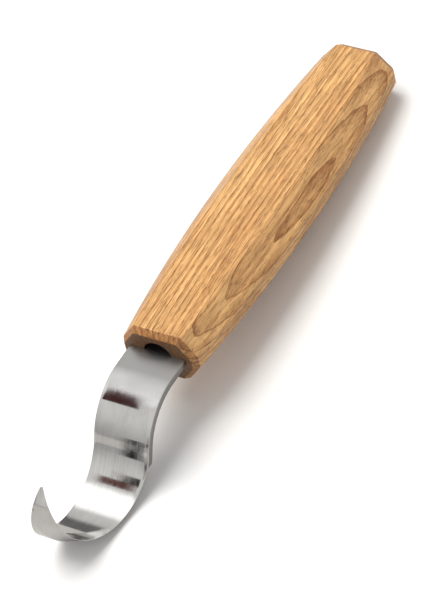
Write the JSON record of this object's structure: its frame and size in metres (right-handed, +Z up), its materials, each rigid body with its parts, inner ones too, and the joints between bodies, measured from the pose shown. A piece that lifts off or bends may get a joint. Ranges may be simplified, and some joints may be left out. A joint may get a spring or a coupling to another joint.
{
  "type": "hook knife",
  "caption": "Hook knife for hollowing spoons and bowls: bent single-edged steel blade glued into a faceted, barrel-shaped ash handle.",
  "frame": {"origin": "centre of the knife's footprint box, on the surface it lies on", "axes": "+X from the hook towards the butt of the handle, +Y towards the blade's blunt back (the cutting edge is on -Y), +Z up as the knife lies on its hook and the butt's lower edge"},
  "size_m": [0.1682, 0.0284, 0.0268],
  "materials": {
    "ash_wood": "oiled, satin",
    "blade_steel": "polished, with fine grinding lines",
    "cured_glue": "cured, dull"
  },
  "bodies": {
    "root": {"handle": "ash_wood", "blade": "blade_steel", "glue": "cured_glue"}
  },
  "joints": []
}
